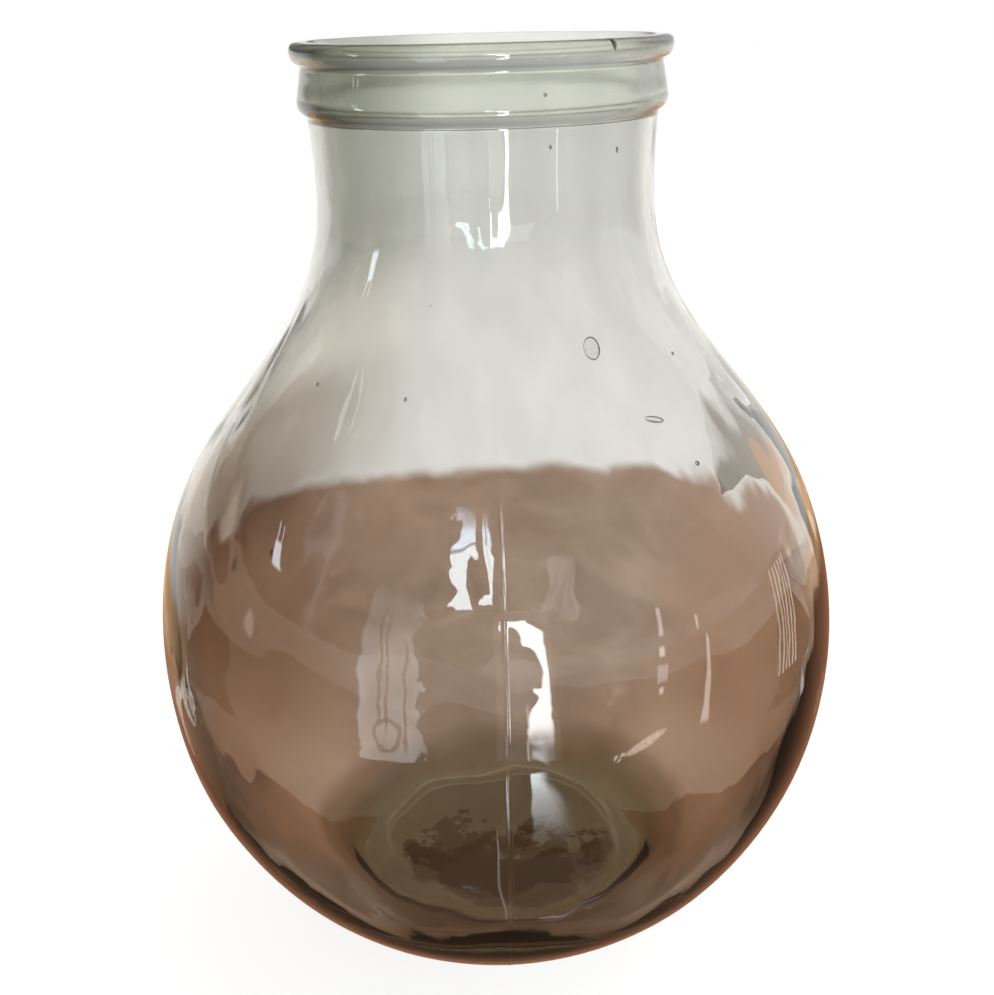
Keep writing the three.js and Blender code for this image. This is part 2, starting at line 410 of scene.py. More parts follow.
glass = bpy.data.materials.new("blown_glass")
glass.use_nodes = True
t = Tree(glass.node_tree)
out = t.node("ShaderNodeOutputMaterial")
bsdf = t.node("ShaderNodeBsdfPrincipled")
t.put(out.inputs["Surface"], bsdf.outputs[0])
where = t.node("ShaderNodeTexCoord").outputs["Object"]
xyz = t.node("ShaderNodeSeparateXYZ")
t.put(xyz.inputs[0], where)
x, y, z = xyz.outputs

# Round the jar: across is -1 at the left side and 1 at the right, deep is -1 in front and 1 behind
rr = t.math("SQRT", t.math("ADD", t.math("ADD", t.math("MULTIPLY", x, x), t.math("MULTIPLY", y, y)), 1e-6))
across, deep = t.math("DIVIDE", x, rr), t.math("DIVIDE", y, rr)
sideways = t.math("MULTIPLY", across, across)

# The smoky glass below, the pale glass above. Round the back and sides it ends in a crisp,
# uneven line, higher at the sides; round the front it fades out slowly.
wide_front, narrow_front = t.ranged(deep, 0.10, -0.75), t.ranged(deep, -0.30, -0.85)
upper = t.ranged(z, 0.10, 0.14)
front = t.math("ADD", t.math("MULTIPLY", wide_front, upper), t.math("MULTIPLY", narrow_front, t.math("SUBTRACT", 1.0, upper)))
edge_noise = t.math("SUBTRACT", t.noise(where, 26.0, 4.0, 0.6), 0.5)
rise = t.mix(
    t.ranged(across, -0.2, 0.2),
    t.curve(sideways, [(0.0, 0.28), (0.1, 0.27), (0.25, 0.39), (0.41, 0.50), (0.5, 0.58), (0.63, 0.64), (0.72, 0.71), (0.80, 0.72), (0.90, 0.54), (1.0, 0.36)]),
    t.curve(sideways, [(0.0, 0.30), (0.25, 0.50), (0.5, 0.76), (0.65, 0.80), (0.8, 0.70), (0.9, 0.56), (1.0, 0.42)]))
line = t.math("ADD", t.math("MULTIPLY_ADD", rise, 0.033, 0.161), t.math("MULTIPLY", edge_noise, 0.010))
crisp = t.ranged(t.math("SUBTRACT", line, z), -0.004, 0.005)
faded = t.ranged(z, 0.165, 0.02)
smoky = t.math("ADD", t.math("MULTIPLY", crisp, t.math("SUBTRACT", 1.0, front)), t.math("MULTIPLY", faded, front))
# along the front mould seam the smoke is thinned, which paints a highlight down the seam
off_seam = t.math("ABSOLUTE", t.math("ADD", t.math("MULTIPLY", x, 0.9997), t.math("MULTIPLY", y, 0.0244)))
seam = t.math("MULTIPLY", t.ranged(off_seam, 0.0009, 0.0003), t.ranged(deep, -0.5, -0.7))
smoky = t.math("MULTIPLY", smoky, t.math("MULTIPLY_ADD", seam, -0.38, 1.0))

# Clouds in the smoky glass, drawn out sideways; warmer at the sides, deeper towards the foot
clouds = t.noise(t.scaled(where, (6.0, 6.0, 11.0)), 1.0, 3.0, 0.55, 0.6)
brown = t.mix(t.ranged(clouds, 0.3, 0.7), (0.365, 0.245, 0.176, 1), (0.488, 0.354, 0.268, 1))
mottle = t.noise(t.scaled(where, (15.0, 15.0, 24.0)), 1.0, 4.0, 0.6, 0.9)
brown = t.mix(t.ranged(mottle, 0.36, 0.64), brown, (0.80, 0.77, 0.745, 1), "MULTIPLY")
brown = t.mix(t.ranged(sideways, 0.25, 0.95, 0.0, 0.75), brown, (0.43, 0.235, 0.142, 1))
low_sides = t.math("MULTIPLY", t.ranged(z, 0.075, 0.030), t.ranged(sideways, 0.45, 0.80))
brown = t.mix(t.math("MULTIPLY", low_sides, 0.5), brown, (0.68, 0.49, 0.38, 1))
# darker towards the foot: partly the thick glass there, partly painted shade of the floor under the jar seen through
# the heel, reaching higher in front
ahead = t.ranged(deep, -0.55, -0.95)
thick_foot_and_painted_shade = t.math("ADD", t.math("MULTIPLY", t.ranged(z, 0.075, 0.012), ahead), t.math("MULTIPLY", t.ranged(z, 0.025, 0.016), t.math("SUBTRACT", 1.0, ahead)))
brown = t.mix(thick_foot_and_painted_shade, brown, (0.18, 0.112, 0.064, 1))
# The base: an olive ring round a disc, whose front part is darkened with a ragged edge: painted shade of the dark floor
# under the jar, seen through the base
rag = t.math("SUBTRACT", t.noise(where, 38.0, 5.0, 0.62, 0.4), 0.5)
painted_under_shade = t.ranged(t.math("MULTIPLY_ADD", rag, 0.17, y), -0.001, -0.009)
painted_under_shade = t.math("MULTIPLY", painted_under_shade, t.ranged(t.math("MULTIPLY_ADD", rag, 0.05, rr), 0.062, 0.057))
disc = t.mix(painted_under_shade, (0.235, 0.176, 0.102, 1), (0.088, 0.052, 0.023, 1))
# painted highlight: a light line round the edge of the disc, brighter towards the back
painted_rim_highlight = t.math("MULTIPLY", t.ranged(rr, 0.0632, 0.0648), t.ranged(rr, 0.0672, 0.0660))
disc = t.mix(t.math("MULTIPLY", painted_rim_highlight, t.ranged(y, -0.03, 0.045, 0.10, 0.60)), disc, (0.62, 0.55, 0.41, 1))
base = t.mix(t.ranged(rr, 0.0655, 0.0675), disc, (0.26, 0.20, 0.122, 1))
brown = t.mix(t.math("MULTIPLY", t.ranged(rr, 0.086, 0.077), t.ranged(z, 0.030, 0.022)), brown, base)

# Grey-green above, deeper in the neck and collar, with faint upright streaks
pale = t.mix(t.ranged(z, 0.290, 0.355), (0.945, 0.945, 0.935, 1), (0.815, 0.825, 0.80, 1))
pale = t.mix(t.ranged(z, 0.386, 0.393), pale, (0.945, 0.975, 0.915, 1))
streaks = t.noise(t.scaled(where, (46.0, 46.0, 2.6)), 1.0, 3.0, 0.55)
pale = t.mix(t.ranged(streaks, 0.35, 0.62, 0.0, 1.0), pale, (0.955, 0.955, 0.95, 1), "MULTIPLY")
# and painted shade on the left side, away from the light, warmer there below the neck
left = t.math("MULTIPLY", t.ranged(across, -0.12, -0.88), t.ranged(across, -0.985, -0.93, 0.35, 1.0))
painted_left_shade = t.mix(t.ranged(z, 0.138, 0.195), (1.0, 1.0, 1.0, 1), (0.53, 0.48, 0.435, 1))
painted_left_shade = t.mix(t.ranged(z, 0.232, 0.275), painted_left_shade, (0.99, 0.965, 0.93, 1))
painted_left_shade = t.mix(t.ranged(z, 0.29, 0.34), painted_left_shade, (0.70, 0.705, 0.675, 1))
painted_left_shade = t.mix(t.ranged(z, 0.386, 0.393), painted_left_shade, (0.55, 0.555, 0.51, 1))
# painted reflection: warm orange bands down both sides of the belly, where the edges of the glass would mirror warm
# ground
painted_warm_reflection = t.math("MULTIPLY", t.ranged(sideways, 0.78, 0.95), t.math("MULTIPLY", t.ranged(z, 0.265, 0.225), t.ranged(z, 0.12, 0.16)))
colour = t.mix(painted_warm_reflection, t.mix(smoky, pale, brown), (0.98, 0.87, 0.74, 1), "MULTIPLY")
# painted shade on the left side, laid over the glass colour
colour = t.mix(left, colour, painted_left_shade, "MULTIPLY")
t.put(bsdf.inputs["Base Color"], colour)

# Fire-polished, with a faint film and fine ripples
film = t.noise(t.scaled(where, (14.0, 14.0, 6.0)), 1.0, 4.0, 0.6)
bore = t.math("MULTIPLY", t.ranged(rr, 0.0746, 0.0730), t.ranged(z, 0.386, 0.393))
under = t.math("MULTIPLY", t.ranged(z, 0.0125, 0.0105), t.ranged(rr, 0.076, 0.070))
rough = t.math("MULTIPLY_ADD", bore, 0.24, t.ranged(film, 0.5, 0.78, 0.0, 0.035))
t.put(bsdf.inputs["Roughness"], t.math("MULTIPLY_ADD", under, 0.30, rough))
fine = t.noise(t.scaled(where, (44.0, 44.0, 24.0)), 1.0, 2.0, 0.5)
bump = t.node("ShaderNodeBump")
bump.inputs["Strength"].default_value = 0.15
bump.inputs["Distance"].default_value = 0.0012
t.put(bump.inputs["Height"], fine)
t.put(bsdf.inputs["Normal"], bump.outputs[0])
bsdf.inputs["IOR"].default_value = 1.5
bsdf.inputs["Transmission Weight"].default_value = 1.0
absorb = t.node("ShaderNodeVolumeAbsorption")
absorb.inputs["Color"].default_value = (0.55, 0.525, 0.445, 1)
absorb.inputs["Density"].default_value = 28.0
t.put(out.inputs["Volume"], absorb.outputs[0])
mesh.materials.append(glass)

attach(jar, "root")
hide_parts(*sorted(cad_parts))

# ------------------------------------------------------------------ floor, light, camera

floor_mesh = bpy.data.meshes.new("floor")
ring = [(60 * math.cos(2 * math.pi * q / 96), 60 * math.sin(2 * math.pi * q / 96), 0) for q in range(96)]
floor_mesh.from_pydata(ring, [], [list(range(96))])
floor = bpy.data.objects.new("floor", floor_mesh)
bpy.context.scene.collection.objects.link(floor)
paper = bpy.data.materials.new("floor_paper")
paper.use_nodes = True
p = Tree(paper.node_tree)
paper_out, paper_bsdf = p.node("ShaderNodeOutputMaterial"), p.node("ShaderNodeBsdfPrincipled")
p.put(paper_out.inputs["Surface"], paper_bsdf.outputs[0])
paper_bsdf.inputs["Base Color"].default_value = (0.86, 0.86, 0.855, 1)
paper_bsdf.inputs["Roughness"].default_value = 1.0
paper_bsdf.inputs["Specular IOR Level"].default_value = 0.0
floor_mesh.materials.append(paper)
floor.location.z = -0.0004
floor.visible_glossy = False  # the glass mirrors the lower, warm half of the surroundings instead

wall_mesh = bpy.data.meshes.new("backdrop")
wall_mesh.from_pydata([(0.2 * c, 0.2 * e, -1.0) for c, e, _ in ring] + [(0.2 * c, 0.2 * e, 15.0) for c, e, _ in ring], [],
                      [[q, (q + 1) % 96, 96 + (q + 1) % 96, 96 + q] for q in range(96)])
backdrop = bpy.data.objects.new("backdrop", wall_mesh)
bpy.context.scene.collection.objects.link(backdrop)
white = bpy.data.materials.new("backdrop_white")
white.use_nodes = True
p = Tree(white.node_tree)
white_out, white_emit = p.node("ShaderNodeOutputMaterial"), p.node("ShaderNodeEmission")
p.put(white_out.inputs["Surface"], white_emit.outputs[0])
white_emit.inputs["Color"].default_value = (1.0, 1.0, 1.0, 1)
white_emit.inputs["Strength"].default_value = 1.0
wall_mesh.materials.append(white)
backdrop.visible_glossy = backdrop.visible_transmission = backdrop.visible_diffuse = backdrop.visible_shadow = False

world = bpy.data.worlds.new("studio")
bpy.context.scene.world = world
world.use_nodes = True
w = Tree(world.node_tree)
w_out, back = w.node("ShaderNodeOutputWorld"), w.node("ShaderNodeBackground")
w.put(w_out.inputs[0], back.outputs[0])
direction = w.node("ShaderNodeTexCoord").outputs["Generated"]
w_xyz = w.node("ShaderNodeSeparateXYZ")
w.put(w_xyz.inputs[0], direction)
wx, wy, wz = w_xyz.outputs
# dark on the left, light on the right and behind, dimmer above; below pale, then amber, then brown
tone = w.ranged(wx, -0.75, 0.75, 0.10, 0.85)
tone = w.math("MULTIPLY", tone, w.ranged(wy, -0.6, 0.6, 0.60, 1.05))
tone = w.math("MULTIPLY", tone, w.ranged(wz, 0.15, 0.8, 1.0, 0.70))
above = w.mix(tone, (0, 0, 0, 1), (1.0, 1.0, 1.0, 1))
above = w.mix(w.math("MULTIPLY", w.ranged(wz, 0.06, 0.02), w.ranged(wy, 0.3, 0.7)), above, (1.0, 1.0, 1.0, 1))
shifted = w.math("ADD", wz, w.ranged(wx, 0.1, -0.1, 0.0, 0.10))
below = w.mix(w.ranged(shifted, -0.16, -0.22), (1.15, 1.13, 1.08, 1), (1.00, 0.61, 0.34, 1))
below = w.mix(w.ranged(shifted, -0.27, -0.34), below, (0.42, 0.19, 0.105, 1))
below = w.mix(w.ranged(wy, 0.70, 0.40), below, (0.12, 0.072, 0.044, 1))
w.put(back.inputs["Color"], w.mix(w.ranged(wz, 0.0, -0.05), above, below))
back.inputs["Strength"].default_value = 1.0


def sun(name, energy, angle, azimuth, elevation):
    lamp = bpy.data.lights.new(name, "SUN")
    lamp.energy, lamp.angle = energy, math.radians(angle)
    ob = bpy.data.objects.new(name, lamp)
    bpy.context.scene.collection.objects.link(ob)
    a, e = math.radians(azimuth), math.radians(elevation)
    towards = Vector((math.cos(e) * math.cos(a), math.cos(e) * math.sin(a), math.sin(e)))
    ob.rotation_mode = "QUATERNION"
    ob.rotation_quaternion = towards.to_track_quat("Z", "Y")
    ob.visible_glossy = ob.visible_transmission = False
    return ob


key = sun("key", 3.60, 60, 60, 62)
unshaded = bpy.data.collections.new("not_shading_the_key")
unshaded.objects.link(jar)
key.light_linking.blocker_collection = unshaded
unshaded.collection_objects[0].light_linking.link_state = "EXCLUDE"


def panel(name, azimuth, radius, low, high, radiance, colour, glossy=True, through=True):
    """An upright light card that faces the jar. Azimuths run from the front (0) to the right (90)."""
    a0, a1 = (math.radians(a) for a in azimuth)
    wide, tall = 2 * radius * math.tan((a1 - a0) / 2), high - low
    lamp = bpy.data.lights.new(name, "AREA")
    lamp.shape, lamp.size, lamp.size_y = "RECTANGLE", wide, tall
    lamp.energy, lamp.color = radiance * math.pi * wide * tall, colour
    ob = bpy.data.objects.new(name, lamp)
    bpy.context.scene.collection.objects.link(ob)
    mid = (a0 + a1) / 2
    ob.location = (radius * math.sin(mid), -radius * math.cos(mid), (low + high) / 2)
    ob.rotation_mode = "QUATERNION"
    ob.rotation_quaternion = Vector((math.sin(mid), -math.cos(mid), 0)).to_track_quat("Z", "Y")
    ob.visible_camera = ob.visible_diffuse = False
    ob.visible_glossy, ob.visible_transmission = glossy, through
    lamp.use_nodes = True
    tree = Tree(lamp.node_tree)
    end, emit = tree.node("ShaderNodeOutputLight"), tree.node("ShaderNodeEmission")
    tree.put(end.inputs[0], emit.outputs[0])
    place = tree.node("ShaderNodeNewGeometry").outputs["Position"]
    parts = tree.node("ShaderNodeSeparateXYZ")
    tree.put(parts.inputs[0], place)
    px, py, pz = parts.outputs
    angle = tree.math("DEGREES", tree.math("ARCTAN2", px, tree.math("MULTIPLY", py, -1.0)))
    return tree, emit.inputs["Strength"], place, angle, pz


def between(tree, value, low, high, soft):
    up = tree.ranged(value, low - soft, low + soft)
    return tree.math("MULTIPLY", up, tree.ranged(value, high + soft, high - soft))


# A tall light beside the camera, with an uneven left edge
k, strength, place, angle, high = panel("tall_light", (0.2, 16.4), 0.70, -0.070, 0.440, 21.0, (0.96, 0.98, 1.0), through=False)
wob = k.math("SUBTRACT", k.noise(place, 40.0, 2.0, 0.5), 0.5)
bent = k.math("MULTIPLY_ADD", wob, 1.3, angle)
high = k.math("MULTIPLY_ADD", wob, 0.018, high)
LEFT = [
    (0.000, 8.6), (0.050, 8.7), (0.080, 9.2), (0.095, 10.2), (0.108, 11.0), (0.118, 11.4), (0.130, 10.8), (0.141, 10.0),
    (0.147, 10.2), (0.153, 12.5), (0.165, 12.9), (0.225, 12.9), (0.250, 12.5), (0.270, 11.6), (0.285, 10.6), (0.300, 8.6),
    (0.315, 8.0), (0.340, 7.8), (0.358, 7.3), (0.370, 6.2), (0.377, 4.0), (0.384, 1.6), (0.480, 1.2),
]
left_edge = k.math("MULTIPLY", k.curve(k.math("DIVIDE", high, 0.48), [(h / 0.48, a / 20) for h, a in LEFT]), 20.0)
right_edge = k.ranged(high, 0.345, 0.392, 14.8, 10.3)
lit = k.math("MULTIPLY", k.ranged(k.math("SUBTRACT", bent, left_edge), -0.3, 0.4), k.ranged(k.math("SUBTRACT", right_edge, bent), -0.4, 0.5))
lit = k.math("MULTIPLY", k.math("MULTIPLY", lit, k.ranged(high, -0.034, 0.045, 0.06, 1.0)), k.ranged(high, 0.397, 0.389))
for centre, half, power in (((7.5, 0.195), (5.5, 0.058), 0.055), ((3.2, 0.372), (2.0, 0.019), 1.0), ((3.5, 0.272), (1.25, 0.014), 1.0)):
    lit = k.math("MAXIMUM", lit, k.math("MULTIPLY", k.ranged(k.oval(bent, high, centre, half), 1.1, 0.9), power))
thin = k.math("MULTIPLY", between(k, angle, 8.4, 8.9, 0.25), k.ranged(high, 0.11, 0.08, 0.0, 0.25))
k.put(strength, k.math("MAXIMUM", k.math("MAXIMUM", lit, thin), 0.02))


def card(name, corners, mirrored):
    """A flat card that the camera doesn't see: mirrored in the glass, or else seen through it."""
    quad = bpy.data.meshes.new(name)
    quad.from_pydata(corners, [], [list(range(len(corners)))])
    ob = bpy.data.objects.new(name, quad)
    bpy.context.scene.collection.objects.link(ob)
    ob.visible_camera = ob.visible_diffuse = ob.visible_shadow = False
    ob.visible_glossy, ob.visible_transmission = mirrored, not mirrored
    finish = bpy.data.materials.new(name)
    finish.use_nodes = True
    tree = Tree(finish.node_tree)
    quad.materials.append(finish)
    end, emit = tree.node("ShaderNodeOutputMaterial"), tree.node("ShaderNodeEmission")
    tree.put(end.inputs[0], emit.outputs[0])
    place = tree.node("ShaderNodeNewGeometry").outputs["Position"]
    parts = tree.node("ShaderNodeSeparateXYZ")
    tree.put(parts.inputs[0], place)
    if not mirrored:
        return tree, emit.inputs["Color"], emit.inputs["Strength"], place, parts.outputs
    power = tree.node("ShaderNodeMath", operation="MULTIPLY")  # a mirrored card lights one way only
    facing = tree.node("ShaderNodeNewGeometry").outputs["Backfacing"]
    tree.put(power.inputs[1], facing if corners[0][1] < 0 else tree.math("SUBTRACT", 1.0, facing))
    tree.put(emit.inputs["Strength"], power.outputs[0])
    return tree, emit.inputs["Color"], power.inputs[0], place, parts.outputs


# The tall light as the far wall mirrors it: a broad light and a slim one, dim and blue below a bar.
# Their edges are bent against the waves of the wall, so that the mirrored ones come out upright.
k, colour, strength, place, (px, py, pz) = card(
    "tall_light_mirrored", [(-0.012, -0.095, 0.062), (0.070, -0.095, 0.062), (0.070, -0.095, 0.212), (-0.012, -0.095, 0.212)], True)
wob = k.math("SUBTRACT", k.noise(place, 85.0, 3.0, 0.6), 0.5)
bent, high = k.math("MULTIPLY_ADD", wob, 0.004, px), k.math("MULTIPLY_ADD", wob, 0.006, pz)


def edge_at(points):
    level = k.math("DIVIDE", k.math("SUBTRACT", pz, 0.062), 0.150)
    line = k.curve(level, [((h - 62) / 150, (v + 12) / 82) for h, v in points])
    return k.math("MULTIPLY_ADD", line, 0.082, -0.012)


def inside(left, right):
    return k.math("MULTIPLY", k.ranged(k.math("SUBTRACT", bent, edge_at(left)), -0.0008, 0.0010), k.ranged(k.math("SUBTRACT", edge_at(right), bent), -0.0008, 0.0010))


broad = inside(
    [(62, 16.0), (71, 18.0), (81, 20.0), (85, 22.2), (93, 21.8), (101, 21.7), (107, 23.0), (114, 22.2), (121.5, 24.6), (128, 26.2),
     (134, 30.0), (147, 32.6), (155.5, 36.8), (160, 38.4), (169, 35.0), (176, 34.6), (185, 35.0), (212, 35.0)],
    [(62, 34.0), (76, 36.0), (80, 38.0), (84, 42.0), (90.5, 45.0), (94, 49.5), (103, 52.5), (111.5, 52.0), (118.5, 50.0), (125, 47.5), (131, 50.0),
     (137, 54.5), (144, 56.0), (152.5, 55.5), (162.4, 54.5), (173, 58.0), (181, 62.5), (189, 66.5), (197, 63.0), (212, 62.0)])
slim = inside(
    [(62, -9.5), (76.5, -9.3), (82.6, -8.7), (93.5, -5.5), (99, -5.5), (105, -2.5), (111, -3.0), (118, -1.5), (131.7, 2.2), (146.5, 2.9),
     (160, 4.6), (175.6, 4.8), (180, 7.2), (192.5, 9.8), (212, 11.0)],
    [(62, 3.0), (72, 4.2), (80, 6.5), (85, 7.6), (95, 7.5), (105, 10.3), (109.6, 14.5), (121, 15.6), (127, 14.5), (133, 13.4), (145, 14.4),
     (159, 12.7), (170, 13.0), (180, 14.1), (190, 17.0), (212, 18.0)])
line = edge_at([(62, -4.0), (80.5, -3.6), (92, -0.5), (102.5, 2.5), (110.6, 5.8), (124, 9.3), (140, 11.5), (212, 12.0)])
gap = k.math("MULTIPLY", k.ranged(k.math("ABSOLUTE", k.math("SUBTRACT", bent, line)), 0.0022, 0.0012), k.ranged(pz, 0.142, 0.132))
slim = k.math("MULTIPLY", k.math("MULTIPLY", slim, k.math("MULTIPLY_ADD", gap, -0.7, 1.0)), k.ranged(high, 0.188, 0.183))
low = k.ranged(pz, 0.1035, 0.1000)
lit = k.math("MAXIMUM", k.math("MULTIPLY", broad, k.ranged(high, 0.203, 0.197)), k.math("MULTIPLY", slim, 0.95))
lit = k.math("MULTIPLY", lit, k.math("MULTIPLY", k.ranged(pz, 0.068, 0.090), k.math("MULTIPLY_ADD", low, -0.60, 1.0)))
bar = k.math("MULTIPLY", between(k, pz, 0.0995, 0.1050, 0.0009), k.ranged(px, 0.0165, 0.0195))
lit = k.math("MULTIPLY", lit, k.math("MULTIPLY_ADD", bar, -0.85, 1.0))
k.put(colour, k.mix(low, (0.76, 0.90, 1.0, 1), (0.62, 0.80, 1.0, 1)))
k.put(strength, k.math("MULTIPLY", lit, 60.0))
# and as the floor of the jar mirrors it, fading: a level card just above the floor, lit underneath
k, colour, strength, place, (px, py, pz) = card(
    "tall_light_in_floor", [(0.010, -0.018, 0.030), (0.062, -0.018, 0.030), (0.062, 0.086, 0.030), (0.010, 0.086, 0.030)], True)
px = k.math("ADD", px, k.ranged(py, -0.010, 0.084, 0.0, 0.005))
right = k.math("ADD", px, k.ranged(py, 0.030, 0.084, 0.0, 0.010))
edge = k.math("MULTIPLY", k.ranged(px, 0.0202, 0.0218), k.ranged(right, 0.0490, 0.0330))
k.put(colour, (0.82, 0.90, 1.0, 1))
k.put(strength, k.math("MULTIPLY", k.math("MULTIPLY", edge, k.ranged(py, -0.014, 0.080, 0.0, 10.0)), k.ranged(py, 0.0845, 0.0815)))

# The cool light as the far wall mirrors it
k, colour, strength, place, (px, py, pz) = card(
    "cool_light_mirrored", [(-0.110, -0.088, 0.098), (-0.052, -0.088, 0.098), (-0.052, -0.088, 0.200), (-0.110, -0.088, 0.200)], True)
lines = k.ranged(k.noise(k.scaled(place, (210.0, 1.0, 14.0)), 1.0, 3.0, 0.6), 0.38, 0.58, 0.45, 1.0)
edge = k.math("MULTIPLY", between(k, px, -0.1075, -0.055, 0.0015), between(k, pz, 0.106, 0.192, 0.006))
k.put(colour, (0.92, 0.97, 1.0, 1))
k.put(strength, k.math("MULTIPLY", k.math("MULTIPLY", lines, edge), 2.8))

# Brown ground in front of the jar, as the glass shows it
ends = [(math.sin(math.radians(a)), -math.cos(math.radians(a))) for a in range(-108, 109, 6)]
k, colour, strength, place, (px, py, pz) = card(
    "ground_in_front", [(0.95 * c, 0.95 * e, -0.0002) for c, e in ends] + [(0.0762 * c, 0.0762 * e, -0.0002) for c, e in ends[::-1]], False)
brown_ground = k.mix(k.noise(place, 6.0, 3.0, 0.6), (0.15, 0.095, 0.062, 1), (0.27, 0.175, 0.12, 1))
near = k.math("SQRT", k.math("ADD", k.math("MULTIPLY", px, px), k.math("MULTIPLY", py, py)))
beside = k.ranged(k.math("DIVIDE", k.math("ABSOLUTE", px), near), 0.35, 0.80)
pale_ground = k.mix(beside, (0.44, 0.31, 0.22, 1), (0.80, 0.66, 0.54, 1))
k.put(colour, k.mix(k.ranged(near, 0.20, 0.13), brown_ground, pale_ground))
k.put(strength, 1.0)
# Small cards behind the jar on both sides, seen in its edges
for name, tint, outline in (
    ("grey_card", (0.38, 0.355, 0.305, 1), [(140, 172), (134, 200), (140, 224), (148, 250), (160, 296), (198, 296), (203, 256), (204, 222), (204, 210), (180, 207), (166, 200), (164, 180), (162, 162), (152, 162)]),
    ("peach_card", (0.80, 0.43, 0.18, 1), [(162, 160), (164, 180), (166, 200), (180, 206.5), (204, 209.5), (214, 204), (226, 196), (240, 168), (250, 160), (236, 146), (218, 140), (190, 148), (170, 153)]),
    ("brown_card_left", (0.54, 0.40, 0.31, 1), [(-187, 0), (-187, 138), (-200, 147), (-250, 150), (-450, 140), (-450, 0)]),
    ("brown_card_right", (0.56, 0.43, 0.34, 1), [(187, 0), (450, 0), (450, 118), (250, 126), (200, 122), (187, 116)]),
):
    k, colour, strength, place, (px, py, pz) = card(name, [(a * MM, 0.13, b * MM) for a, b in outline], False)
    low = k.math("MULTIPLY", k.ranged(pz, 0.118, 0.085), k.ranged(k.math("ABSOLUTE", px), 0.265, 0.215))
    colours = k.mix(low, tint, (0.92, 0.83, 0.74, 1))
    if name == "grey_card":  # it fades out to the left and upwards
        slant = k.math("SUBTRACT", px, k.math("MULTIPLY", k.math("SUBTRACT", pz, 0.19), 0.05))
        colours = k.mix(k.math("MULTIPLY", k.ranged(slant, 0.139, 0.149), k.ranged(pz, 0.284, 0.262)), (0.95, 0.94, 0.92, 1), colours)
    k.put(colour, colours)
    k.put(strength, 1.0)

# A dim, cool light to the left of the camera
k, strength, place, angle, high = panel("cool_light", (-43, -17), 0.50, 0.002, 0.42, 3.7, (0.90, 0.96, 1.0), through=False)
wob = k.math("SUBTRACT", k.noise(place, 20.0, 3.0, 0.6), 0.5)
bent = k.math("MULTIPLY_ADD", wob, 4.0, angle)
lit = k.math("MULTIPLY", k.ranged(k.math("MULTIPLY_ADD", wob, 5.0, angle), -37.0, -36.0), k.ranged(k.math("MULTIPLY_ADD", wob, 16.0, angle), -19.6, -21.0))
for at, low, top in ((-31.0, 0.09, 0.34), (-29.2, 0.07, 0.33), (-24.2, 0.03, 0.26)):
    mark = k.math("MULTIPLY", k.ranged(k.math("ABSOLUTE", k.math("SUBTRACT", bent, at)), 0.55, 0.25), between(k, high, low, top, 0.02))
    lit = k.math("MULTIPLY", lit, k.math("MULTIPLY_ADD", mark, -0.70, 1.0))
mark = k.ranged(k.math("ABSOLUTE", k.math("SUBTRACT", k.oval(bent, high, (-29.0, 0.058), (3.6, 0.034)), 1.0)), 0.18, 0.08)
lit = k.math("MULTIPLY", lit, k.math("MULTIPLY_ADD", mark, -0.65, 1.0))
lit = k.math("MULTIPLY", lit, k.ranged(k.noise(place, 9.0, 2.0, 0.5), 0.30, 0.62, 0.60, 1.0))
lit = k.math("MULTIPLY", lit, k.ranged(high, 0.16, 0.32, 1.0, 0.35))
k.put(strength, k.math("MULTIPLY", lit, k.ranged(high, 0.42, 0.36)))

# Narrow strips on the right
k, strength, place, angle, high = panel("strip_near", (41, 48), 0.60, 0.080, 0.31, 7.0, (1.0, 0.97, 0.93), through=False)
away = k.math("ABSOLUTE", k.math("SUBTRACT", k.math("SUBTRACT", angle, 44.0), k.math("MULTIPLY", k.math("SUBTRACT", high, 0.09), 7.0)))
lit = 0.0
for low, top, half, power in ((0.228, 0.303, 0.55, 0.8), (0.176, 0.200, 0.55, 1.0), (0.118, 0.156, 1.1, 0.5), (0.092, 0.107, 0.65, 0.9)):
    piece = k.math("MULTIPLY", k.ranged(away, half + 0.25, half - 0.25), between(k, high, low, top, 0.004))
    lit = k.math("MAXIMUM", lit, k.math("MULTIPLY", piece, power))
k.put(strength, lit)
k, strength, place, angle, high = panel("strip_far", (50, 60), 0.45, 0.015, 0.240, 5.0, (1.0, 0.95, 0.88), through=False)
half = k.ranged(high, 0.19, 0.06, 0.4, 1.1)
away = k.math("DIVIDE", k.math("ABSOLUTE", k.math("SUBTRACT", angle, 56.6)), half)
lit = k.math("MULTIPLY", k.ranged(away, 1.3, 0.7), between(k, high, 0.032, 0.186, 0.008))
lit = k.math("MAXIMUM", lit, k.math("MULTIPLY", between(k, angle, 52.9, 53.9, 0.35), between(k, high, 0.207, 0.236, 0.004)))
k.put(strength, lit)
# and a slanting one lower down, broken at its left end
k, strength, place, angle, high = panel("low_strip", (25, 46), 0.45, 0.001, 0.080, 6.0, (1.0, 0.88, 0.78), through=False)
off = k.math("SUBTRACT", high, k.math("MULTIPLY_ADD", k.math("SUBTRACT", angle, 27.2), 0.0018, 0.021))
bits = k.noise(k.scaled(place, (120.0, 120.0, 90.0)), 1.0, 2.0, 0.5)
lit = k.math("MULTIPLY", k.ranged(k.oval(angle, off, (37.8, 0.0), (6.2, 0.0120)), 1.15, 0.70), k.ranged(bits, 0.30, 0.55, 0.55, 1.0))
few = k.math("MULTIPLY", k.ranged(k.oval(angle, off, (29.6, 0.001), (2.6, 0.0095)), 1.1, 0.8), k.ranged(bits, 0.50, 0.56))
k.put(strength, k.math("MAXIMUM", lit, few))
# A light with upright gaps at the right side
k, strength, place, angle, high = panel("gapped", (88, 99), 0.50, 0.002, 0.20, 2.2, (1.0, 0.96, 0.88), through=False)
gaps = k.ranged(k.math("SINE", k.math("MULTIPLY", angle, 3.6)), -0.1, 0.7, 0.08, 1.0)
k.put(strength, gaps)
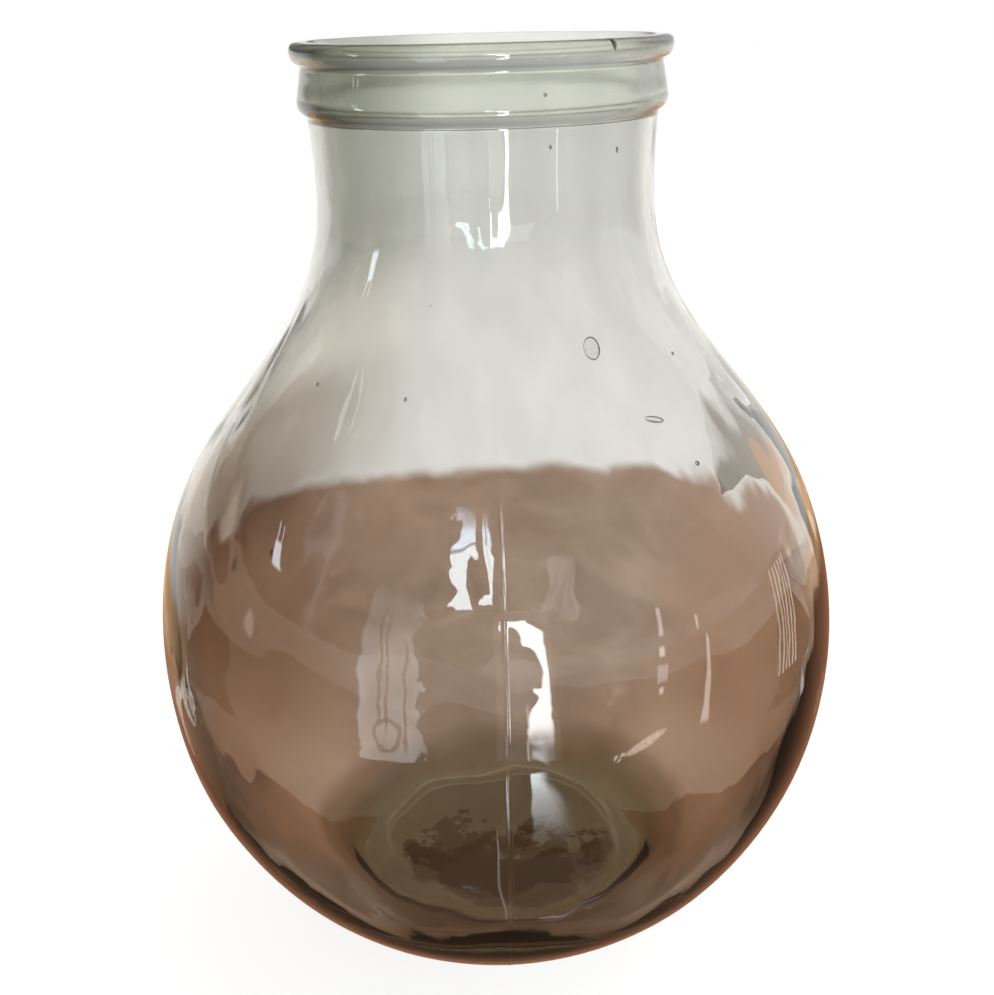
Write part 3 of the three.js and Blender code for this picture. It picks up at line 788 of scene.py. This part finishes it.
# Small cool lights on the left
k, strength, place, angle, high = panel("left_low", (-84, -69), 0.70, 0.375, 0.525, 10.0, (0.80, 0.91, 1.0), through=False)
off = k.math("ABSOLUTE", k.math("ADD", k.math("MULTIPLY_ADD", k.math("SUBTRACT", high, 0.387), 53.5, 72.5), angle))
lit = k.math("MULTIPLY", k.ranged(off, 2.6, 1.9), between(k, high, 0.384, 0.462, 0.008))
fork = k.math("MULTIPLY", k.ranged(k.math("ABSOLUTE", k.math("SUBTRACT", off, 1.6)), 0.6, 0.25), between(k, high, 0.450, 0.515, 0.010))
k.put(strength, k.math("MAXIMUM", lit, k.math("MULTIPLY", fork, 0.5)))
k, strength, place, angle, high = panel("left_soft", (-80, -73), 0.70, 0.130, 0.220, 1.6, (1.0, 0.94, 0.88), through=False)
k.put(strength, k.ranged(k.oval(angle, high, (-76.2, 0.170), (2.4, 0.040)), 1.2, 0.5))
k, strength, place, angle, high = panel("left_high", (-82, -78), 0.70, 0.775, 0.815, 2.4, (1.0, 0.98, 0.95))
k.put(strength, 1.0)

# Camera, rolled a little, from in front and above
PITCH, ROLL, SIDE = 20.79, 1.4, 0.0020
cam_data = bpy.data.cameras.new("camera")
cam = bpy.data.objects.new("camera", cam_data)
bpy.context.scene.collection.objects.link(cam)
cam_data.sensor_width, cam_data.sensor_fit = 36.0, "AUTO"
cam_data.lens = 1320.0 / 995.0 * 36.0
cam_data.clip_start, cam_data.clip_end = 0.01, 500.0
cam.matrix_world = (
    Matrix.Translation((SIDE, -0.593, 0.436))
    @ Matrix.Rotation(math.radians(90 - PITCH), 4, "X")
    @ Matrix.Rotation(math.radians(-ROLL), 4, "Z")
)
bpy.context.scene.camera = cam

scene = bpy.context.scene
scene.view_settings.view_transform = "Standard"
scene.view_settings.look = "None"
scene.cycles.max_bounces = 24
scene.cycles.transmission_bounces = 24
scene.cycles.glossy_bounces = 12
scene.cycles.diffuse_bounces = 4
scene.cycles.transparent_max_bounces = 12
scene.cycles.use_denoising = True

bpy.context.view_layer.update()
